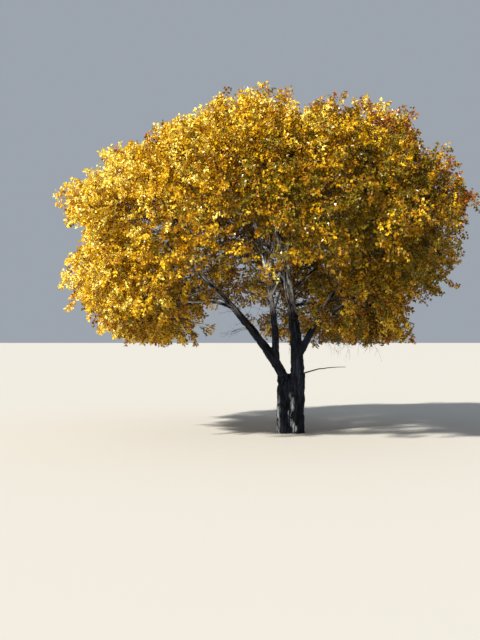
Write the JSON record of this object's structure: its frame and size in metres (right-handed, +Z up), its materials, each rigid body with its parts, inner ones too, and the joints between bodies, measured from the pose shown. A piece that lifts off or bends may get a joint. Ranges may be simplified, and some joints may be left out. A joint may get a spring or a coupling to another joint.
{
  "type": "cottonwood tree",
  "caption": "Broad autumn shade tree with a short twin-stemmed trunk, a low fork, rising boughs and a dome of golden leaf masses.",
  "frame": {"origin": "middle of the flat cut under the trunk, at ground level", "axes": "+Z up the trunk, +X to the right across the two joined stems and along the crown's widest spread, +Y to the back"},
  "size_m": [9.5957, 8.8608, 7.7111],
  "materials": {
    "bark": "deeply furrowed grey-brown bark",
    "leaf_gold": "golden-yellow autumn leaves",
    "leaf_amber": "amber autumn leaves",
    "leaf_olive": "olive-brown autumn leaves",
    "leaf_russet": "russet autumn leaves"
  },
  "bodies": {
    "root": {"back_bough": "bark", "bough_middle_135": "bark", "bough_middle_225": "bark", "bough_middle_315": "bark", "bough_middle_45": "bark", "bough_skirt_154": "bark", "bough_skirt_184": "bark", "bough_skirt_2": "bark", "bough_skirt_216": "bark", "bough_skirt_320": "bark", "bough_skirt_44": "bark", "bough_skirt_86": "bark", "bough_upper_150": "bark", "bough_upper_210": "bark", "bough_upper_270": "bark", "bough_upper_30": "bark", "bough_upper_330": "bark", "bough_upper_90": "bark", "front_bough": "bark", "leaves_middle_0": "leaf_russet", "leaves_middle_135": "leaf_gold", "leaves_middle_180": "leaf_gold", "leaves_middle_225": "leaf_gold", "leaves_middle_270": "leaf_amber", "leaves_middle_315": "leaf_olive", "leaves_middle_45": "leaf_olive", "leaves_middle_90": "leaf_amber", "leaves_skirt_154": "leaf_gold", "leaves_skirt_184": "leaf_gold", "leaves_skirt_2": "leaf_russet", "leaves_skirt_216": "leaf_gold", "leaves_skirt_320": "leaf_olive", "leaves_skirt_44": "leaf_olive", "leaves_skirt_86": "leaf_amber", "leaves_top_210": "leaf_amber", "leaves_top_330": "leaf_amber", "leaves_top_90": "leaf_amber", "leaves_upper_150": "leaf_gold", "leaves_upper_210": "leaf_gold", "leaves_upper_270": "leaf_amber", "leaves_upper_30": "leaf_olive", "leaves_upper_330": "leaf_olive", "leaves_upper_90": "leaf_amber", "left_bough": "bark", "left_inner": "bark", "left_upright": "bark", "low_branch": "bark", "right_bough": "bark", "right_upright": "bark", "trunk": "bark"}
  },
  "joints": []
}
